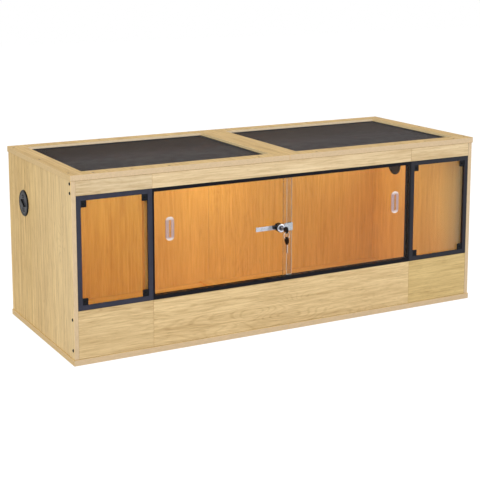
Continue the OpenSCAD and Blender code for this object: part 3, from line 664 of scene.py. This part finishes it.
def rounded_loop(low, high, z, corner, radius, sides=8, arc=6):
    """A round bead that follows a rectangle with rounded corners."""
    shape = bmesh.new()
    corners = (
        (high.x - corner, high.y - corner, 0),
        (low.x + corner, high.y - corner, 90),
        (low.x + corner, low.y + corner, 180),
        (high.x - corner, low.y + corner, 270),
    )
    rings = []
    for centre_x, centre_y, start in corners:
        for step in range(arc + 1):
            angle = math.radians(start + 90 * step / arc)
            outward = Vector((math.cos(angle), math.sin(angle), 0))
            centre = Vector((centre_x, centre_y, z)) + outward * corner
            upward = Vector((0, 0, 1))
            rings.append(add_ring(shape, centre, outward, upward, radius, sides))
    for index, ring in enumerate(rings):
        join_rings(shape, ring, rings[(index + 1) % len(rings)])
    return shape


# Painted light from inside the tank, paler and browner towards the back of the mesh
mesh_coat_painted_light = black("mesh_coat_painted_light", (38, 34, 37), 0.45, 0.3, back=(62, 55, 50))
spline_rubber = black("spline_rubber", (30, 30, 33), 0.5, 0.4)
for side in ("left", "right"):
    low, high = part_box(f"mesh_screen_{side}")
    wires = wire_net(low, high, wire_radius, wire_pitch)
    net = mesh_object(f"mesh_wires_{side}", wires, mesh_coat_painted_light, "cabinet")
    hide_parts(f"mesh_screen_{side}")
    inset = Vector((spline_radius, spline_radius, 0))
    level = low.z + 4 * wire_radius + spline_radius
    bead = rounded_loop(low + inset, high - inset, level, spline_corner, spline_radius)
    mesh_object(f"mesh_spline_{side}", bead, spline_rubber, "cabinet")


# Floor and background

def seen_directly(tree):
    """1 for rays from the camera, and for those by way of metal or clear glass."""
    rays = tree.nodes.new("ShaderNodeLightPath")
    value = rays.outputs["Is Camera Ray"]
    for name in ("Is Glossy Ray", "Is Transmission Ray"):
        largest = tree.nodes.new("ShaderNodeMath")
        largest.operation = "MAXIMUM"
        tree.links.new(value, largest.inputs[0])
        tree.links.new(rays.outputs[name], largest.inputs[1])
        value = largest.outputs[0]
    return value


def floor_finish():
    """Pale floor. The camera sees it nearly white, with the tank's shadow."""
    n = Nodes("studio_floor")
    fine = n.noise(n.place(), 3, 2)
    pale = n.mix(fine, srgb(238, 238, 238), srgb(244, 244, 244))
    lit = n.surface(Base_Color=pale, Roughness=0.9)
    white = n.add("ShaderNodeEmission", Color=srgb(255, 255, 255), Strength=floor_strength)
    glowing = n.blend(floor_glow, lit, white.outputs[0])
    return n.finish(n.blend(seen_directly(n.tree), lit, glowing))


def add_floor():
    shape = bmesh.new()
    bmesh.ops.create_grid(shape, x_segments=1, y_segments=1, size=floor_half)
    data = bpy.data.meshes.new("floor")
    shape.to_mesh(data)
    shape.free()
    data.materials.append(floor_finish())
    floor = bpy.data.objects.new("floor", data)
    bpy.context.scene.collection.objects.link(floor)
    floor.location.z = -floor_gap


def add_world():
    """White to the camera, and softer as light on the tank."""
    world = bpy.data.worlds.new("studio")
    bpy.context.scene.world = world
    world.use_nodes = True
    tree = world.node_tree
    tree.nodes.clear()
    level = tree.nodes.new("ShaderNodeMapRange")
    level.inputs["To Min"].default_value = world_light
    level.inputs["To Max"].default_value = 1.0
    tree.links.new(seen_directly(tree), level.inputs["Value"])
    ambient = tree.nodes.new("ShaderNodeBackground")
    ambient.inputs["Color"].default_value = (1.0, 1.0, 1.0, 1.0)
    tree.links.new(level.outputs["Result"], ambient.inputs["Strength"])
    out = tree.nodes.new("ShaderNodeOutputWorld")
    tree.links.new(ambient.outputs[0], out.inputs["Surface"])


add_floor()
add_world()


# Lamps, in watts: three soft ones round the tank, and the warm glow inside it

studio_lamps = {
    "key_lamp": ((-2.4, -3.1, 2.5), (0, 0, 0.25), (2.4, 2.4), 86),
    "fill_lamp": ((2.4, -2.7, 1.6), (0, 0, 0.25), (2.0, 2.0), 27),
    "top_lamp": ((0.2, 0.6, 3.2), (0, 0, 0.3), (3.0, 2.0), 36),
}
inner_lamps = (
    ((-0.4, -0.02), 1.0),
    ((0.0, 0.02), 1.15),
    ((0.43, 0.09), 0.32),
    ((0.3, -0.1), 0.5),
)
inner_lamp_height = 0.36
inner_lamp_radius = 0.05
inner_lamp_colour = (1.0, 0.86, 0.6)


def area_lamp(name, position, target, size, power):
    data = bpy.data.lights.new(name, "AREA")
    data.shape = "RECTANGLE"
    data.size, data.size_y = size
    data.energy = power
    lamp = bpy.data.objects.new(name, data)
    bpy.context.scene.collection.objects.link(lamp)
    lamp.location = position
    direction = Vector(target) - Vector(position)
    lamp.rotation_euler = direction.to_track_quat("-Z", "Y").to_euler()


def inner_lamp(name, place, power):
    """A small warm lamp inside the tank, which itself isn't seen or mirrored."""
    data = bpy.data.lights.new(name, "POINT")
    data.energy = power
    data.color = inner_lamp_colour
    data.shadow_soft_size = inner_lamp_radius
    lamp = bpy.data.objects.new(name, data)
    bpy.context.scene.collection.objects.link(lamp)
    lamp.location = (*place, inner_lamp_height)
    lamp.visible_camera = False
    lamp.visible_glossy = False


for name, values in studio_lamps.items():
    area_lamp(name, *values)
for index, (place, power) in enumerate(inner_lamps):
    inner_lamp(f"inner_lamp_{index}", place, power)


# Camera

def place_camera():
    azimuth = math.radians(camera_azimuth)
    elevation = math.radians(camera_elevation)
    roll = math.radians(camera_roll)
    back = Vector((
        math.sin(azimuth) * math.cos(elevation),
        -math.cos(azimuth) * math.cos(elevation),
        math.sin(elevation),
    ))
    level_right = Vector((math.cos(azimuth), math.sin(azimuth), 0))
    level_up = back.cross(level_right)
    right = level_right * math.cos(roll) + level_up * math.sin(roll)
    up = level_up * math.cos(roll) - level_right * math.sin(roll)
    position = (
        Vector((0, 0, camera_height)) + back * camera_distance
        + level_right * camera_offset[0] + level_up * camera_offset[1]
    )
    turn = Matrix((right, up, back)).transposed().to_4x4()
    data = bpy.data.cameras.new("camera")
    data.sensor_width = camera_sensor
    data.lens = camera_lens
    data.shift_y = camera_shift
    data.clip_start = camera_near
    camera = bpy.data.objects.new("camera", data)
    bpy.context.scene.collection.objects.link(camera)
    camera.matrix_world = Matrix.Translation(position) @ turn
    bpy.context.scene.camera = camera


place_camera()
bpy.context.scene.view_settings.view_transform = "Standard"
